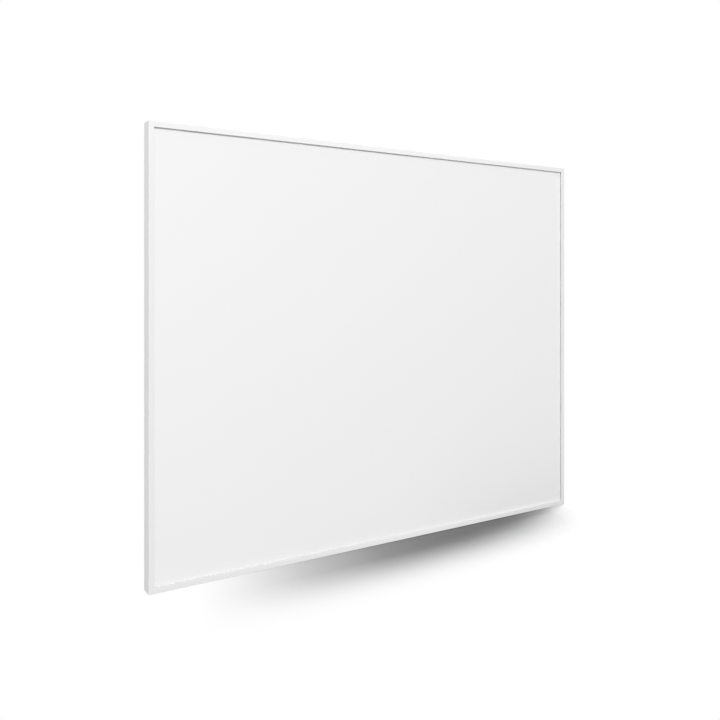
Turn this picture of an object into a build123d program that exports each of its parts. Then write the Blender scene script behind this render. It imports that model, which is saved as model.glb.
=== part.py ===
from build123d import *
import os
from math import cos, radians, tan

# An infrared panel heater for a wall. A powder-coated steel plate radiates from a slim frame of
# mitred aluminium extrusion. Behind the plate lie a laminated carbon element, insulation and a
# pressed back plate, which carries the terminal box. Four keyhole brackets hang on four buttons
# that are screwed to the wall.
#
# The wall is the plane Y = 0, X runs to the right as seen from the room, Z is up, and the heater
# looks towards -Y. The origin is the middle of the four wall screws, and of the panel.
#
# Sizes are in millimetres. A "depth" is measured backwards from the front face of the frame.
# Places in the terminal box, whose names start with box_, are measured from its middle.

os.makedirs("parts", exist_ok=True)

# ------------------------------------------------------------------ whole heater
panel_width = 750.0
panel_height = 600.0
frame_depth = 20.0
wall_gap = 20.0  # from the frame's rear edge to the wall

# ------------------------------------------------------------------ frame extrusion
frame_wall = 1.4  # outer wall
lip_width = 7.2  # the border seen from the front
lip_thickness = 1.6
chamber_width = 10.6  # the hollow that takes the corner keys, with its walls
chamber_depth = 11.0
chamber_wall = 1.2
rear_bead_width = 2.6  # inward bead that stiffens the rear edge
rear_bead_thickness = 1.2
outer_round = 0.6
lip_round = 0.4
mitre_gap = 0.06  # hairline where two mitred ends meet

# ------------------------------------------------------------------ corner keys
key_play = 0.15
key_leg = 38.0
key_barb_pitch = 7.0
key_barb_size = 1.2
key_elbow_round = 0.4
key_corner_cut = 1.5

# ------------------------------------------------------------------ front plate, seal, element
plate_thickness = 0.8
plate_play = 0.6  # room for the steel plates to grow in the frame when hot
plate_corner = 2.0
seal_thickness = 2.0
seal_setback = 0.5  # from the lip's edge to the seal
seal_joint = 0.1
film_thickness = 0.4
circuit_thickness = 0.3
foil_thickness = 0.2
element_margin = 1.5  # from the frame's chamber to the films and the insulation
film_border = 9.0  # from the film's edge to the printed circuit
bus_bar_width = 8.0
carbon_strip_count = 18
carbon_strip_gap = 7.0

# ------------------------------------------------------------------ back plate
back_plate_thickness = 0.8
bead_width = 16.0
bead_height = 1.6
bead_flank = 45.0  # degrees
bead_gap = 38.0  # between the two columns
bead_side_margin = 106.0  # from the panel's side to the beads
bead_top_margin = 55.0  # from the panel's top to the first row
bead_bottom_margin = 185.0  # least height of the last row, clear of the terminal box
bead_row_pitch = 72.0

# ------------------------------------------------------------------ screws into the frame
screw_radius = 1.75
screw_hole_play = 0.15
screw_thread_play = 0.05
screw_tip_room = 2.6  # left in the chamber in front of the screw's tip
screw_head_radius = 3.4
screw_head_height = 2.0
screw_corner_distance = 24.0  # from the panel's corner to the first screw
rail_screw_count = 5
stile_screw_count = 3

# ------------------------------------------------------------------ brackets and wall buttons
button_inset_x = 40.0  # from the panel's side to the button's axis
button_inset_z = 70.0  # from its upper or lower edge
lift = 15.0  # how far the heater rises before it comes off the wall
bracket_thickness = 1.6
bracket_above = 14.0  # from the button's axis to the bracket's top
bracket_below = 30.0  # and to its bottom
bracket_end = 19.0  # and to its free end
bracket_wall_play = 0.8
bracket_bend = 0.8
bracket_slope = 60.0  # degrees
bracket_corner = 5.0
bracket_screw_pitch = 26.0
neck_radius = 4.0
neck_play = 0.3  # around the neck in the slot
face_play = 0.3  # from the bracket to the button's shoulder and to its head
head_radius = 7.0
head_play = 1.0  # around the head in the round end of the keyhole
head_thickness = 2.6
head_room = 0.5  # from the head to the back plate
head_chamfer = 0.6
button_radius = 9.0
button_foot_radius = 14.0
button_foot_thickness = 3.0
button_root_chamfer = 2.0
wall_hole_radius = 2.75
wall_sink_radius = 5.2

# ------------------------------------------------------------------ terminal box
box_x = 0.0  # place of the box's middle on the panel
box_rise = 85.0  # from the panel's lower edge to the box's middle
box_width = 104.0
box_height = 64.0
box_depth = 20.0
box_wall = 2.0
box_corner = 7.0
lid_thickness = 2.0
lid_edge_bevel = 0.6
lid_lip_height = 0.6
lid_lip_width = 1.2
lid_lip_play = 0.2
gasket_thickness = 0.8
gasket_inset = 0.3
boss_radius = 4.0
boss_inset = 5.5
lid_screw_radius = 1.45
lid_screw_length = 10.0
lid_screw_head_radius = 2.9
rivet_radius = 1.6
rivet_head_radius = 3.2
rivet_head_height = 1.0
rivet_tail_radius = 2.4
rivet_tail_length = 3.0
rivet_inset_x = 7.0  # from the box's outer side
rivet_inset_z = 15.0
tail_room = 2.0  # around a rivet's tail or a stud's head in the insulation
floor_window_shift = 3.0  # the opening in the box's floor lies this far to the left of the grommet
floor_window_z = 4.0
floor_window_width = 30.0
floor_window_height = 44.0
floor_window_round = 3.0

# ------------------------------------------------------------------ grommet and earth stud
grommet_inset = 24.0  # from the box's right side
grommet_z = -6.0
grommet_hole_radius = 9.0
grommet_bore_radius = 7.0
grommet_rim = 1.2
grommet_lip = 1.2
grommet_play = 0.1
stud_rise = 21.0  # from the grommet's middle, straight above it
stud_radius = 2.0
stud_end = 1.6  # beyond the upper nut
stud_head_radius = 4.5
stud_head_height = 1.0
nut_height = 2.8
nut_flats = 7.0
nut_play = 0.05
lug_thickness = 0.8
lug_radius = 4.0
lug_barrel_start = 5.0  # from the stud's axis
lug_barrel_length = 6.0
lug_barrel_wall = 0.6

# ------------------------------------------------------------------ terminal block
block_x = -4.0
block_z = 2.0
block_width = 20.0
block_height = 33.0
block_depth = 11.5
block_edge_chamfer = 1.0
block_slot_width = 1.4  # between two poles
block_slot_depth = 3.0
pole_pitch = 10.0
pole_rise = 5.5  # from the box's floor to the wire's axis
insert_bore_radius = 2.1
insert_wall = 0.7
insert_play = 0.05
insert_recess = 1.5  # from the block's side to the brass insert
terminal_screw_radius = 1.3
terminal_screw_head_radius = 1.9
terminal_screw_head_height = 1.6
terminal_screw_play = 0.1
terminal_screw_pitch = 8.0
terminal_screw_recess = 0.8
block_screw_radius = 1.2
block_screw_head_radius = 2.2
block_screw_head_height = 1.4
block_screw_recess = 1.0

# ------------------------------------------------------------------ cable gland
gland_inset = 26.0  # from the box's left side
gland_rise = 9.4  # from the back plate to the gland's axis
gland_thread_radius = 6.0
gland_thread_play = 0.1
gland_flats = 16.0
gland_collar_length = 5.0
gland_sleeve_radius = 6.4
gland_sleeve_length = 7.0
gland_spigot_length = 5.0  # inside the box
gland_bore_radius = 4.0
gland_seal_bore_radius = 3.4
gland_seal_wall = 1.4
gland_seal_length = 9.0
gland_nut_gap = 1.5  # from the collar to the nut
gland_nut_length = 11.0
gland_nut_bevel = 2.4
gland_nut_play = 0.15
gland_mouth_radius = 3.9
locknut_flats = 14.0
locknut_length = 3.5

# ------------------------------------------------------------------ cut-out and leads
cutout_x = -2.0
cutout_cap_radius = 8.0
cutout_cap_height = 3.0
cutout_body_radius = 7.2
cutout_tab_width = 6.3
cutout_tab_thickness = 0.8
cutout_tab_reach = 15.0  # from the middle to a tab's end
pocket_margin = 3.0
pocket_corner = 4.0
lead_radius = 1.4
lead_play = 0.8  # around a lead in its groove
lead_lip_play = 0.3  # from a lead to the grommet's front lip
lead_entry = 3.0  # length of a lead inside the terminal's brass insert
lug_entry = 4.0  # and inside the lug's barrel
lead_spacing = 3.6  # between the two leads in the grommet
lead_exit_radius = 4.0
lead_turn = 8.0  # from the block's side to the first turn
solder_radius = 3.2
solder_height = 0.9
solder_slope = 0.6

# ------------------------------------------------------------------ depths, from the front backwards
plate_front = lip_thickness + seal_thickness
film_front = plate_front + plate_thickness
circuit_front = film_front + film_thickness
circuit_rear = circuit_front + circuit_thickness
foil_front = circuit_rear + film_thickness
insulation_front = foil_front + foil_thickness
ledge = film_front + chamber_depth  # the back plate lies on this ledge of the frame
back_face = ledge + back_plate_thickness
bracket_step = head_thickness + face_play + head_room
bracket_face = back_face + bracket_step + bracket_thickness
box_floor = back_face + box_wall
box_rim = back_face + box_depth - lid_thickness - gasket_thickness
lid_front = box_rim + gasket_thickness
lid_face = lid_front + lid_thickness
wire_depth = box_floor + pole_rise
lead_depth = ledge - grommet_lip - lead_lip_play - lead_radius
groove_depth = ledge - lead_depth + lead_radius + lead_play
front_y = -wall_gap - frame_depth

# ------------------------------------------------------------------ widths, heights and places
hole_spacing_x = panel_width - 2 * button_inset_x
hole_spacing_z = panel_height - 2 * button_inset_z
box_z = box_rise - panel_height / 2
grommet_x = box_width / 2 - grommet_inset
gland_x = gland_inset - box_width / 2
chamber_inner = frame_wall + chamber_width  # from the panel's edge to the chamber's inner face
screw_line = frame_wall + (chamber_width - chamber_wall) / 2
steel_width = panel_width - 2 * (frame_wall + plate_play)
steel_height = panel_height - 2 * (frame_wall + plate_play)
film_width = panel_width - 2 * (chamber_inner + element_margin)
film_height = panel_height - 2 * (chamber_inner + element_margin)
circuit_width = film_width - 2 * film_border
circuit_height = film_height - 2 * film_border
bus_bar_x = (circuit_width - bus_bar_width) / 2
lead_line = box_z + grommet_z  # the height at which the leads cross the insulation


# ------------------------------------------------------------------ helpers


def at_depth(depth):
    """A sketch plane at a depth. Its x is X, its y is Z, and what is extruded from it grows forwards."""
    return Plane.XZ.offset(wall_gap + frame_depth - depth)


def facing_wall(depth):
    """A sketch plane at a depth whose extrusions grow backwards. Its x is X and its y is -Z."""
    return Plane(origin=(0, front_y + depth, 0), x_dir=(1, 0, 0), z_dir=(0, 1, 0))


def spread(count, span):
    """Evenly spaced places, centred on zero, with a span from the first to the last."""
    return [span * (step / (count - 1) - 0.5) for step in range(count)]


def in_box(x, z):
    """A place in the terminal box as a place on the panel."""
    return (box_x + x, box_z + z)


def finish(piece, name):
    """Gives a finished piece its name and writes its file."""
    piece.part.label = name
    export_step(piece.part, f"parts/{name}.step")


# ------------------------------------------------------------------ places of fasteners
corners = [(side, level) for side in (-1, 1) for level in (-1, 1)]
rail_screws = [
    (x, level * (panel_height / 2 - screw_line))
    for level in (-1, 1)
    for x in spread(rail_screw_count, panel_width - 2 * screw_corner_distance)
]
stile_screws = [
    (side * (panel_width / 2 - screw_line), z)
    for side in (-1, 1)
    for z in spread(stile_screw_count, panel_height - 2 * screw_corner_distance)
]
bracket_middle = (bracket_above - bracket_below) / 2  # of a bracket, above its button's axis
bracket_screws_at = [
    (side * (panel_width / 2 - screw_line), level * hole_spacing_z / 2 + bracket_middle + z)
    for side, level in corners
    for z in spread(2, bracket_screw_pitch)
]
plate_screws_at = rail_screws + stile_screws
frame_screws_at = plate_screws_at + bracket_screws_at
rivets_at = [
    in_box(side * (box_width / 2 - rivet_inset_x), level * (box_height / 2 - rivet_inset_z))
    for side, level in corners
]
bosses_at = [
    in_box(side * (box_width / 2 - boss_inset), level * (box_height / 2 - boss_inset))
    for side, level in corners
]
grommet_at = in_box(grommet_x, grommet_z)
stud_at = in_box(grommet_x, grommet_z + stud_rise)
solder_at = [(-bus_bar_x, lead_line), (bus_bar_x, lead_line)]

# ------------------------------------------------------------------ frame: four mitred members


def frame_member(inward):
    """One member, from its section with x running inwards and y backwards, mitred at both ends."""
    inward = Vector(inward)
    along = inward.cross(Vector(0, 1, 0))
    outer_edge = Vector(-inward.X * panel_width / 2, front_y, -inward.Z * panel_height / 2)
    half_run = panel_width / 2 if inward.Z else panel_height / 2
    from_corner = (Align.MIN, Align.MIN)
    with BuildPart() as member:
        with BuildSketch(Plane(origin=outer_edge, x_dir=inward, z_dir=along)) as section:
            Rectangle(frame_wall, frame_depth, align=from_corner)
            Rectangle(lip_width, lip_thickness, align=from_corner)
            with Locations((0, film_front)):
                Rectangle(chamber_inner, chamber_depth, align=from_corner)
            with Locations((0, frame_depth - rear_bead_thickness)):
                Rectangle(rear_bead_width, rear_bead_thickness, align=from_corner)
            with Locations((frame_wall, film_front + chamber_wall)):
                Rectangle(
                    chamber_width - chamber_wall,
                    chamber_depth - 2 * chamber_wall,
                    align=from_corner,
                    mode=Mode.SUBTRACT,
                )
            fillet(section.vertices().group_by(Axis.X)[0], radius=outer_round)
            fillet(section.vertices().group_by(Axis.Y)[0].sort_by(Axis.X)[-1], radius=lip_round)
        extrude(amount=half_run, both=True)
        for end in (-1, 1):
            tip = outer_edge + along * end * (half_run - mitre_gap / 2)
            split(bisect_by=Plane(origin=tip, z_dir=-inward - along * end), keep=Keep.TOP)
        with BuildSketch(at_depth(ledge)):
            with Locations(*frame_screws_at):
                Circle(screw_radius + screw_thread_play)
        extrude(amount=chamber_wall, mode=Mode.SUBTRACT)
    return member


finish(frame_member((0, 0, -1)), "top_rail")
finish(frame_member((0, 0, 1)), "bottom_rail")
finish(frame_member((1, 0, 0)), "left_stile")
finish(frame_member((-1, 0, 0)), "right_stile")

# ------------------------------------------------------------------ corner keys
key_width = chamber_width - chamber_wall - 2 * key_play
key_thickness = chamber_depth - 2 * chamber_wall - 2 * key_play
key_rear = ledge - chamber_wall - key_play
key_corner = (panel_width / 2 - frame_wall - key_play, panel_height / 2 - frame_wall - key_play)

with BuildPart() as corner_keys:
    with BuildSketch(at_depth(key_rear)) as key_outline:
        with Locations(key_corner):
            Rectangle(key_leg, key_width, align=(Align.MAX, Align.MAX))
            Rectangle(key_width, key_leg, align=(Align.MAX, Align.MAX))
        outer_corner = Vector(*key_corner)
        elbow = outer_corner - Vector(key_width, key_width)
        fillet(key_outline.vertices().sort_by_distance(elbow)[0], radius=key_elbow_round)
        chamfer(key_outline.vertices().sort_by_distance(outer_corner)[0], length=key_corner_cut)
        # notches between the barbs that grip the outer wall
        for step in (1, 2, 3):
            reach = key_width + step * key_barb_pitch
            with Locations(outer_corner - Vector(reach, 0), outer_corner - Vector(0, reach)):
                Rectangle(key_barb_size, key_barb_size, rotation=45, mode=Mode.SUBTRACT)
        with Locations(*plate_screws_at):
            Circle(screw_radius + screw_thread_play, mode=Mode.SUBTRACT)
    extrude(amount=key_thickness)
    mirror(about=Plane.YZ)
    mirror(about=Plane.XY)
finish(corner_keys, "corner_keys")

# ------------------------------------------------------------------ front plate and its seal
seal_width = lip_width - seal_setback - frame_wall - plate_play

with BuildPart() as plate_seal:
    # four strips of foam tape
    with BuildSketch(at_depth(plate_front)):
        for end in (-1, 1):
            with Locations((end * (steel_width - seal_width) / 2, 0)):
                Rectangle(seal_width, steel_height)
            with Locations((0, end * (steel_height - seal_width) / 2)):
                Rectangle(steel_width - 2 * (seal_width + seal_joint), seal_width)
    extrude(amount=seal_thickness)
finish(plate_seal, "plate_seal")

with BuildPart() as radiant_plate:
    with BuildSketch(at_depth(film_front)):
        RectangleRounded(steel_width, steel_height, plate_corner)
    extrude(amount=plate_thickness)
finish(radiant_plate, "radiant_plate")

# ------------------------------------------------------------------ heating element
strip_pitch = (circuit_height + carbon_strip_gap) / carbon_strip_count

with BuildPart() as front_film:
    with BuildSketch(at_depth(circuit_front)):
        Rectangle(film_width, film_height)
    extrude(amount=film_thickness)
finish(front_film, "front_film")

with BuildPart() as carbon_strips:
    with BuildSketch(at_depth(circuit_rear)):
        with GridLocations(0, strip_pitch, 1, carbon_strip_count):
            Rectangle(circuit_width - 2 * bus_bar_width, strip_pitch - carbon_strip_gap)
    extrude(amount=circuit_thickness)
finish(carbon_strips, "carbon_strips")

with BuildPart() as bus_bars:
    with BuildSketch(at_depth(circuit_rear)):
        with GridLocations(2 * bus_bar_x, 0, 2, 1):
            Rectangle(bus_bar_width, circuit_height)
    extrude(amount=circuit_thickness)
finish(bus_bars, "bus_bars")

with BuildPart() as solder_joints:
    for place in solder_at:
        with BuildSketch(at_depth(circuit_rear + solder_height)):
            with Locations(place):
                Circle(solder_radius - solder_slope)
        with BuildSketch(at_depth(circuit_rear)):
            with Locations(place):
                Circle(solder_radius)
        loft()
finish(solder_joints, "solder_joints")

with BuildPart() as rear_film:
    with BuildSketch(at_depth(foil_front)):
        Rectangle(film_width, film_height)
        with Locations(*solder_at):
            Circle(lead_exit_radius, mode=Mode.SUBTRACT)
    extrude(amount=film_thickness)
finish(rear_film, "rear_film")

# ------------------------------------------------------------------ foil and insulation
pocket_left = box_x + cutout_x - cutout_tab_reach - pocket_margin
pocket_right = grommet_at[0] + grommet_hole_radius + grommet_rim + pocket_margin
pocket_height = 2 * (grommet_hole_radius + grommet_rim + pocket_margin)


def insulation_outline():
    """The outline of the foil and the insulation, with the pocket for the cut-out and the leads."""
    Rectangle(film_width, film_height)
    with Locations(((pocket_left + pocket_right) / 2, lead_line)):
        RectangleRounded(pocket_right - pocket_left, pocket_height, pocket_corner, mode=Mode.SUBTRACT)
    with Locations(*solder_at):
        Circle(lead_exit_radius, mode=Mode.SUBTRACT)


with BuildPart() as reflector_foil:
    with BuildSketch(at_depth(insulation_front)):
        insulation_outline()
    extrude(amount=foil_thickness)
finish(reflector_foil, "reflector_foil")

with BuildPart() as insulation_board:
    with BuildSketch(at_depth(ledge)):
        insulation_outline()
        with Locations(*rivets_at):
            Circle(rivet_tail_radius + tail_room, mode=Mode.SUBTRACT)
        with Locations(stud_at):
            Circle(stud_head_radius + tail_room, mode=Mode.SUBTRACT)
    extrude(amount=ledge - insulation_front)
    with BuildSketch(at_depth(ledge)):
        with Locations((0, lead_line)):
            SlotCenterToCenter(2 * bus_bar_x, 2 * (lead_radius + lead_play))
    extrude(amount=groove_depth, mode=Mode.SUBTRACT)
finish(insulation_board, "insulation_board")

# ------------------------------------------------------------------ back plate
bead_length = (panel_width - bead_gap) / 2 - bead_side_margin
bead_rows = 1 + int((panel_height - bead_top_margin - bead_bottom_margin) / bead_row_pitch)
first_row = bead_top_margin - panel_height / 2  # in a plane that faces the wall, where y points down
beads_at = [
    (x, first_row + row * bead_row_pitch)
    for x in spread(2, bead_length + bead_gap)
    for row in range(bead_rows)
]
flank_shift = back_plate_thickness * tan(radians(bead_flank / 2))


def pressed_beads(depth, inset, mode):
    """Long beads that swell towards the wall, with sloping flanks and round ends."""
    with BuildSketch(facing_wall(depth)) as outlines:
        with Locations(*beads_at):
            SlotOverall(bead_length - 2 * inset, bead_width - 2 * inset)
    extrude(outlines.sketch, amount=bead_height, taper=bead_flank, mode=mode)


with BuildPart() as back_plate:
    with BuildSketch(at_depth(back_face)):
        RectangleRounded(steel_width, steel_height, plate_corner)
        with Locations(*frame_screws_at):
            Circle(screw_radius + screw_hole_play, mode=Mode.SUBTRACT)
        with Locations(*rivets_at):
            Circle(rivet_radius + screw_thread_play, mode=Mode.SUBTRACT)
        with Locations(grommet_at):
            Circle(grommet_hole_radius, mode=Mode.SUBTRACT)
        with Locations(stud_at):
            Circle(stud_radius + nut_play, mode=Mode.SUBTRACT)
    extrude(amount=back_plate_thickness)
    pressed_beads(back_face, 0, Mode.ADD)
    # the hollow side of the same beads
    pressed_beads(ledge, flank_shift, Mode.SUBTRACT)
finish(back_plate, "back_plate")


def frame_screw(place, seat):
    """A pan-head screw that is driven from behind into the frame, its head on a seat's depth."""
    tip = film_front + chamber_wall + screw_tip_room
    with BuildSketch(at_depth(seat)) as shank:
        with Locations(place):
            Circle(screw_radius)
    extrude(shank.sketch, amount=seat - tip)
    with BuildSketch(at_depth(seat + screw_head_height)) as head:
        with Locations(place):
            Circle(screw_head_radius)
    extrude(head.sketch, amount=screw_head_height)


with BuildPart() as back_plate_screws:
    for place in plate_screws_at:
        frame_screw(place, back_face)
finish(back_plate_screws, "back_plate_screws")

# ------------------------------------------------------------------ hanger brackets


def hanger_bracket(side, level):
    """A joggled steel plate with a keyhole. Its flange lies on the back plate over the stile."""
    button_x = side * hole_spacing_x / 2
    button_z = level * hole_spacing_z / 2
    flange_y = front_y + back_face
    pad_y = flange_y + bracket_step
    flange_edge = side * (panel_width / 2 - frame_wall - bracket_wall_play)
    bend_at = side * (panel_width / 2 - chamber_inner)
    pad_starts = bend_at - side * bracket_step / tan(radians(bracket_slope))
    free_end = button_x - side * bracket_end
    with BuildPart() as bracket:
        with BuildSketch(Plane.XY.offset(button_z - bracket_below)):
            with BuildLine() as sheet:
                FilletPolyline(
                    (flange_edge, flange_y),
                    (bend_at, flange_y),
                    (pad_starts, pad_y),
                    (free_end, pad_y),
                    radius=bracket_bend,
                )
                offset(amount=bracket_thickness, side=Side.RIGHT if side > 0 else Side.LEFT)
            make_face()
        extrude(amount=bracket_above + bracket_below)
        corners_to_round = bracket.edges().filter_by(Axis.Y).group_by(Axis.X)
        fillet(corners_to_round[0 if side > 0 else -1], radius=bracket_corner)
        with BuildSketch(at_depth(bracket_face)):
            with Locations((button_x, button_z)):
                Circle(neck_radius + neck_play)
                Rectangle(2 * (neck_radius + neck_play), lift, align=(Align.CENTER, Align.MAX))
            with Locations((button_x, button_z - lift)):
                Circle(head_radius + head_play)
        extrude(amount=bracket_thickness, mode=Mode.SUBTRACT)
        with BuildSketch(at_depth(back_face + bracket_thickness)):
            with Locations(*bracket_screws_at):
                Circle(screw_radius + screw_hole_play)
        extrude(amount=bracket_thickness, mode=Mode.SUBTRACT)
    return bracket


finish(hanger_bracket(-1, 1), "upper_left_bracket")
finish(hanger_bracket(1, 1), "upper_right_bracket")
finish(hanger_bracket(-1, -1), "lower_left_bracket")
finish(hanger_bracket(1, -1), "lower_right_bracket")

with BuildPart() as bracket_screws:
    for place in bracket_screws_at:
        frame_screw(place, back_face + bracket_thickness)
finish(bracket_screws, "bracket_screws")

# ------------------------------------------------------------------ wall buttons
shoulder = -(wall_gap + frame_depth - bracket_face) + face_play  # Y of the shoulder
head_rear = shoulder - bracket_thickness - 2 * face_play
head_front = head_rear - head_thickness


def wall_button(side, level):
    """A turned button: foot on the wall, shoulder, neck for the slot and head behind the bracket."""
    middle = Plane(
        origin=(side * hole_spacing_x / 2, 0, level * hole_spacing_z / 2), x_dir=(1, 0, 0), z_dir=(0, 0, 1)
    )
    with BuildPart() as button:
        with BuildSketch(middle) as half_section:
            with BuildLine():
                Polyline(
                    (0, 0),
                    (button_foot_radius, 0),
                    (button_foot_radius, -button_foot_thickness),
                    (button_radius, -button_foot_thickness),
                    (button_radius, shoulder),
                    (neck_radius, shoulder),
                    (neck_radius, head_rear),
                    (head_radius, head_rear),
                    (head_radius, head_front),
                    (0, head_front),
                    close=True,
                )
            make_face()
            root = Vector(button_radius, -button_foot_thickness)
            chamfer(half_section.vertices().sort_by_distance(root)[0], length=button_root_chamfer)
            rim = Vector(head_radius, head_front)
            chamfer(half_section.vertices().sort_by_distance(rim)[0], length=head_chamfer)
        revolve(axis=Axis(middle.origin, (0, 1, 0)))
        with Locations(Plane(origin=middle.origin + Vector(0, head_front, 0), z_dir=(0, -1, 0))):
            CounterSinkHole(wall_hole_radius, wall_sink_radius, counter_sink_angle=90)
    return button


finish(wall_button(-1, 1), "upper_left_wall_button")
finish(wall_button(1, 1), "upper_right_wall_button")
finish(wall_button(-1, -1), "lower_left_wall_button")
finish(wall_button(1, -1), "lower_right_wall_button")

# ------------------------------------------------------------------ terminal box
gland_y = front_y + back_face + gland_rise
gland_wall_z = box_z - box_height / 2  # outer face of the wall that holds the gland


def gland_plane(z):
    """A sketch plane square to the gland's axis, at a height; it faces up."""
    return Plane(origin=(box_x + gland_x, gland_y, z), x_dir=(1, 0, 0), z_dir=(0, 0, 1))


with BuildPart() as terminal_box_base:
    with BuildSketch(at_depth(box_rim)):
        with Locations((box_x, box_z)):
            RectangleRounded(box_width, box_height, box_corner)
    extrude(amount=box_rim - back_face)
    with BuildSketch(at_depth(box_rim)):
        with Locations((box_x, box_z)):
            RectangleRounded(box_width - 2 * box_wall, box_height - 2 * box_wall, box_corner - box_wall)
    extrude(amount=box_rim - box_floor, mode=Mode.SUBTRACT)
    with BuildSketch(at_depth(box_rim)):
        with Locations(*bosses_at):
            Circle(boss_radius)
    extrude(amount=box_rim - box_floor)
    with BuildSketch(at_depth(box_rim)):
        with Locations(*bosses_at):
            Circle(lid_screw_radius + screw_thread_play)
    extrude(amount=lid_screw_length, mode=Mode.SUBTRACT)
    with BuildSketch(at_depth(box_floor)):
        with Locations(in_box(grommet_x - floor_window_shift, floor_window_z)):
            RectangleRounded(floor_window_width, floor_window_height, floor_window_round)
        with Locations(*rivets_at):
            Circle(rivet_radius + screw_thread_play)
        with Locations(in_box(block_x, block_z)):
            with GridLocations(0, pole_pitch, 1, 2):
                Circle(block_screw_radius + screw_thread_play)
    extrude(amount=box_wall, mode=Mode.SUBTRACT)
    with BuildSketch(gland_plane(gland_wall_z)):
        Circle(gland_thread_radius + gland_thread_play)
    extrude(amount=box_wall, mode=Mode.SUBTRACT)
finish(terminal_box_base, "terminal_box_base")

with BuildPart() as box_rivets:
    for place in rivets_at:
        for depth, radius, length in (
            (box_floor + rivet_head_height, rivet_head_radius, rivet_head_height),
            (box_floor, rivet_radius, box_floor - ledge),
            (ledge, rivet_tail_radius, rivet_tail_length),
        ):
            with BuildSketch(at_depth(depth)):
                with Locations(place):
                    Circle(radius)
            extrude(amount=length)
finish(box_rivets, "box_rivets")

with BuildPart() as lid_gasket:
    with BuildSketch(at_depth(lid_front)):
        with Locations((box_x, box_z)):
            RectangleRounded(
                box_width - 2 * gasket_inset, box_height - 2 * gasket_inset, box_corner - gasket_inset
            )
            RectangleRounded(
                box_width - 2 * box_wall,
                box_height - 2 * box_wall,
                box_corner - box_wall,
                mode=Mode.SUBTRACT,
            )
    extrude(amount=gasket_thickness)
finish(lid_gasket, "lid_gasket")

lip_inset = box_wall + lid_lip_play
boss_clearance = boss_radius + lid_lip_play

with BuildPart() as terminal_box_lid:
    with BuildSketch(at_depth(lid_face)):
        with Locations((box_x, box_z)):
            RectangleRounded(box_width, box_height, box_corner)
    extrude(amount=lid_thickness)
    chamfer(terminal_box_lid.edges().group_by(Axis.Y)[-1], length=lid_edge_bevel)
    with BuildSketch(at_depth(lid_front)):
        with Locations((box_x, box_z)):
            RectangleRounded(box_width - 2 * lip_inset, box_height - 2 * lip_inset, box_corner - lip_inset)
            RectangleRounded(
                box_width - 2 * (lip_inset + lid_lip_width),
                box_height - 2 * (lip_inset + lid_lip_width),
                box_corner - lip_inset - lid_lip_width,
                mode=Mode.SUBTRACT,
            )
        with Locations(*bosses_at):
            Circle(boss_clearance, mode=Mode.SUBTRACT)
    extrude(amount=gasket_thickness + lid_lip_height)
    for place in bosses_at:
        with Locations(Plane(origin=(place[0], front_y + lid_face, place[1]), z_dir=(0, 1, 0))):
            CounterSinkHole(
                lid_screw_radius + screw_hole_play, lid_screw_head_radius, counter_sink_angle=90
            )
finish(terminal_box_lid, "terminal_box_lid")

with BuildPart() as lid_screws:
    cone = lid_screw_head_radius - lid_screw_radius
    for place in bosses_at:
        with BuildSketch(at_depth(lid_face)):
            with Locations(place):
                Circle(lid_screw_head_radius - screw_thread_play)
        extrude(amount=cone, taper=45)
        with BuildSketch(at_depth(lid_face)):
            with Locations(place):
                Circle(lid_screw_radius)
        extrude(amount=lid_screw_length)
finish(lid_screws, "lid_screws")

# ------------------------------------------------------------------ grommet, earth stud, nuts, lug
with BuildPart() as lead_grommet:
    for depth, radius, length in (
        (back_face + grommet_lip, grommet_hole_radius + grommet_rim, grommet_lip),
        (back_face, grommet_hole_radius - grommet_play, back_plate_thickness),
        (ledge, grommet_hole_radius + grommet_rim, grommet_lip),
    ):
        with BuildSketch(at_depth(depth)):
            with Locations(grommet_at):
                Circle(radius)
                Circle(grommet_bore_radius, mode=Mode.SUBTRACT)
        extrude(amount=length)
finish(lead_grommet, "lead_grommet")

lug_front = back_face + nut_height
lug_rear = lug_front + lug_thickness
stud_tip = lug_rear + nut_height + stud_end

with BuildPart() as earth_stud:
    with BuildSketch(at_depth(ledge)):
        with Locations(stud_at):
            Circle(stud_head_radius)
    extrude(amount=stud_head_height)
    with BuildSketch(at_depth(stud_tip)):
        with Locations(stud_at):
            Circle(stud_radius)
    extrude(amount=stud_tip - ledge)
finish(earth_stud, "earth_stud")

with BuildPart() as earth_nuts:
    for depth in (lug_front, lug_rear + nut_height):
        with BuildSketch(at_depth(depth)):
            with Locations(stud_at):
                RegularPolygon(nut_flats / 2, 6, major_radius=False)
                Circle(stud_radius + nut_play, mode=Mode.SUBTRACT)
        extrude(amount=nut_height)
finish(earth_nuts, "earth_nuts")

barrel_radius = lead_radius + screw_thread_play + lug_barrel_wall
barrel_depth = lug_front + barrel_radius
barrel_starts = stud_at[0] - lug_barrel_start

with BuildPart() as earth_lug:
    with BuildSketch(at_depth(lug_rear)):
        with Locations(stud_at):
            Circle(lug_radius)
            Rectangle(lug_barrel_start + barrel_radius, 2 * barrel_radius, align=(Align.MAX, Align.CENTER))
            Circle(stud_radius + nut_play, mode=Mode.SUBTRACT)
    extrude(amount=lug_thickness)
    barrel = Plane(origin=(barrel_starts, front_y + barrel_depth, stud_at[1]), z_dir=(-1, 0, 0))
    with BuildSketch(barrel):
        Circle(barrel_radius)
    extrude(amount=lug_barrel_length)
    with BuildSketch(barrel):
        Circle(lead_radius + screw_thread_play)
    extrude(amount=lug_barrel_length, mode=Mode.SUBTRACT)
finish(earth_lug, "earth_lug")

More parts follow.
